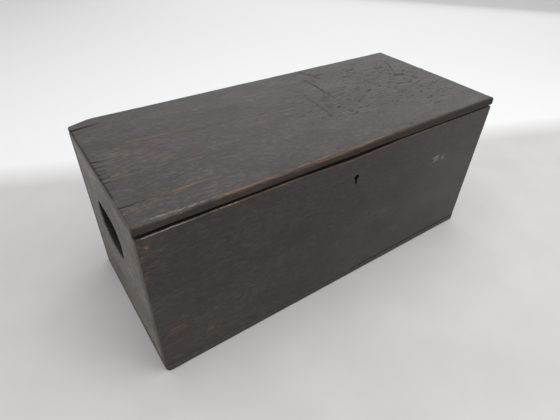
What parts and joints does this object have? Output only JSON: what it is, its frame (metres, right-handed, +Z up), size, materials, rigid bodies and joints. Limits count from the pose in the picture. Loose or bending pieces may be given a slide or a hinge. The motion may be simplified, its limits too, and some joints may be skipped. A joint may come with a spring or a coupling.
{
  "type": "storage trunk",
  "caption": "Long low box of nailed painted boards with a flat hinged lid, hand holes in its ends, a keyhole in front and a lock with a sliding bolt inside.",
  "frame": {"origin": "on the floor, under the middle of the box", "axes": "+X along the trunk to the right as seen from the front, the front faces -Y, +Z up"},
  "size_m": [1.008, 0.434, 0.4255],
  "materials": {
    "painted_pine": "old dark grey paint, worn to orange-brown pine on its arrises",
    "bare_pine": "aged bare pine",
    "rusted_iron": "rusted",
    "dark_iron": "dark, oiled",
    "spring_steel": "blued"
  },
  "bodies": {
    "trunk": {"front_board": "painted_pine", "back_board": "painted_pine", "left_end_board": "painted_pine", "right_end_board": "painted_pine", "bottom_front_plank": "painted_pine", "bottom_middle_plank": "bare_pine", "bottom_back_plank": "bare_pine", "front_left_nails": "rusted_iron", "front_right_nails": "rusted_iron", "back_left_nails": "rusted_iron", "back_right_nails": "rusted_iron", "bottom_nails": "rusted_iron", "left_hinge_box_leaf": "dark_iron", "left_hinge_pin": "dark_iron", "left_hinge_box_screws": "dark_iron", "right_hinge_box_leaf": "dark_iron", "right_hinge_pin": "dark_iron", "right_hinge_box_screws": "dark_iron", "lock_case": "dark_iron", "lock_guide_rivets": "dark_iron", "lock_key_pin": "dark_iron", "lock_spring": "spring_steel", "lock_screws": "dark_iron"},
    "lid": {"lid_front_board": "painted_pine", "lid_back_board": "painted_pine", "lid_batten_left": "bare_pine", "lid_batten_screws_left": "dark_iron", "left_hinge_lid_leaf": "dark_iron", "left_hinge_lid_screws": "dark_iron", "lid_batten_right": "bare_pine", "lid_batten_screws_right": "dark_iron", "right_hinge_lid_leaf": "dark_iron", "right_hinge_lid_screws": "dark_iron", "lid_staple_plate": "dark_iron", "lid_staple_screws": "dark_iron"},
    "bolt": {"lock_bolt": "dark_iron"}
  },
  "joints": [
    {"name": "lid_hinge", "type": "hinge", "parent": "trunk", "child": "lid", "pos_m": [0, 0.215, 0.406], "axis": [-1, 0, 0], "range_deg": [0, 115]},
    {"name": "lock_bolt_slide", "type": "slide", "parent": "trunk", "child": "bolt", "axis": [1, 0, 0], "range_m": [0, 0.012]}
  ]
}
